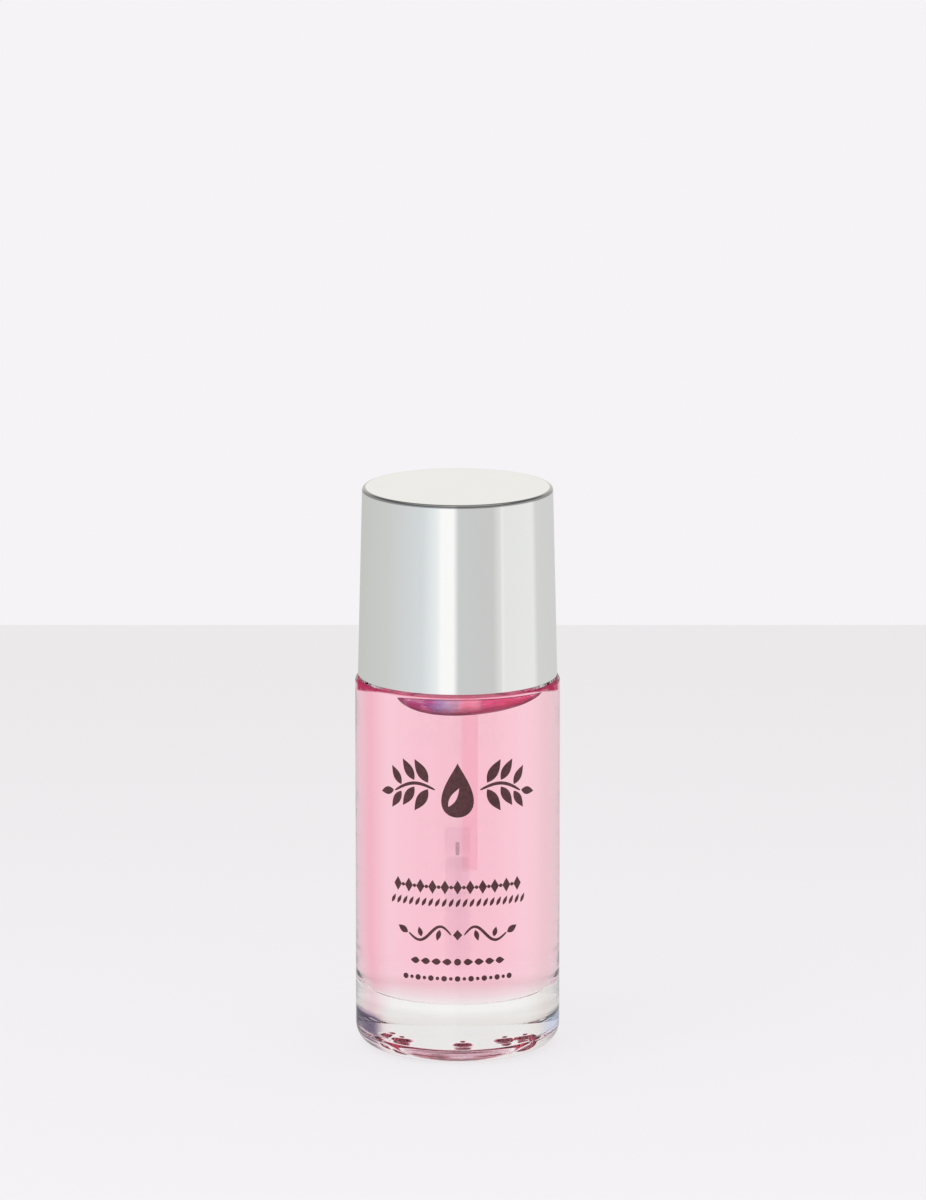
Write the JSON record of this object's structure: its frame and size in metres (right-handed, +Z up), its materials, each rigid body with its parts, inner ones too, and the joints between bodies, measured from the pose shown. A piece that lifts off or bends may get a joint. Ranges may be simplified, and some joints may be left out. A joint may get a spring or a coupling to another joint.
{
  "type": "cuticle oil bottle",
  "caption": "Small clear glass bottle with a thick floor, filled with pink oil, with a tall plated screw closure that carries a brush.",
  "frame": {"origin": "centre of the bottle's bearing plane, on its axis", "axes": "+Z up the axis, from the base to the top of the closure; -Y towards the viewer of the picture"},
  "size_m": [0.0244, 0.0244, 0.0677],
  "materials": {
    "clear_glass": "clear, polished",
    "pink_oil": "clear pink liquid",
    "white_foam": "soft, matte",
    "translucent_polythene": "translucent, satin",
    "staple_wire": "plain wire",
    "white_hair": "fine hairs",
    "white_polypropylene": "moulded, satin",
    "silver_plating": "bright plated"
  },
  "bodies": {
    "bottle": {"glass_bottle": "clear_glass", "cuticle_oil": "pink_oil"},
    "liner": {"sealing_liner": "white_foam"},
    "brush": {"brush_stem": "translucent_polythene", "bristle_staple": "staple_wire", "bristle_tuft": "white_hair"},
    "closure": {"screw_cap": "white_polypropylene", "overcap": "silver_plating"}
  },
  "joints": [
    {"name": "cap_lift", "type": "slide", "parent": "bottle", "child": "liner", "axis": [0, 0, 1], "range_m": [0, 0.062]},
    {"name": "cap_climb", "type": "slide", "parent": "liner", "child": "brush", "axis": [0, 0, 1], "range_m": [0, 0.00375]},
    {"name": "cap_twist", "type": "hinge", "parent": "brush", "child": "closure", "pos_m": [0, 0, 0.04543], "axis": [0, 0, 1], "range_deg": [0, 450]}
  ],
  "couplings": [
    {"joint": "cap_climb", "follows": "cap_twist", "m_per_rad": 0.00047746}
  ]
}
